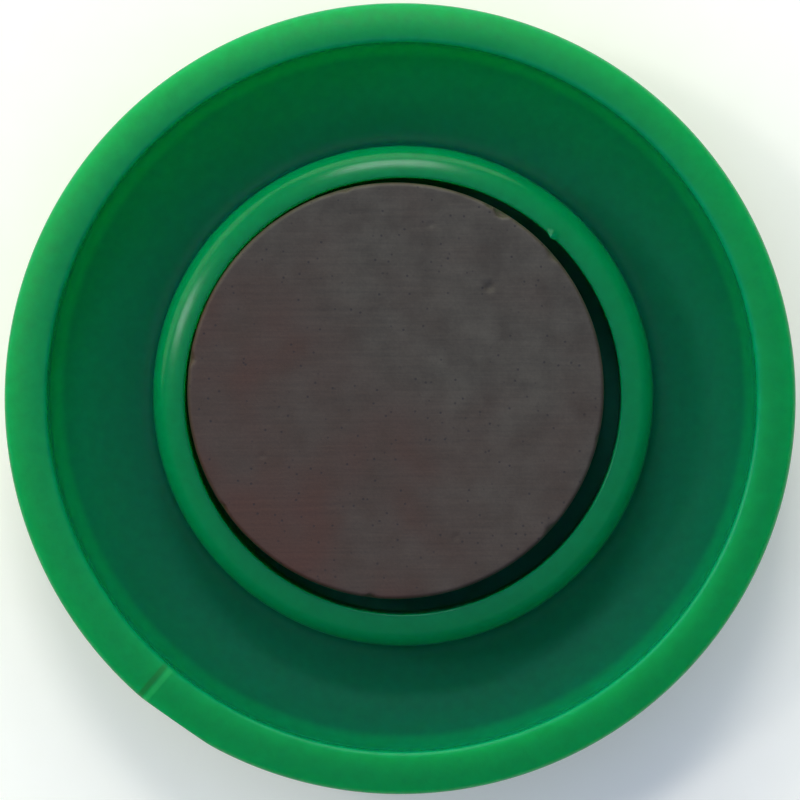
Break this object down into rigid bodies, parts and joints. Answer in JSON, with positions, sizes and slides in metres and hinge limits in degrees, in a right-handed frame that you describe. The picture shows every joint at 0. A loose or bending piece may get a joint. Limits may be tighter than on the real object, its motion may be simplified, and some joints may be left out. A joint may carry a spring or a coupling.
{
  "type": "round magnet holder",
  "caption": "Round hollow plastic cap with a bare ferrite disc magnet bonded into a ring wall at its centre, for holding against a steel surface.",
  "frame": {"origin": "the cap's axis in the plane of the holding face, the ferrite disc's exposed face", "axes": "+Z out of the holding face; +X and +Y across it, with the disc pushed off centre towards -X and +Y"},
  "size_m": [0.038, 0.038, 0.0087],
  "materials": {
    "cap": "gloss",
    "magnet": "matte",
    "adhesive": "satin"
  },
  "bodies": {
    "root": {"cap": "cap", "ferrite_magnet": "magnet", "adhesive_fill": "adhesive"}
  },
  "joints": []
}
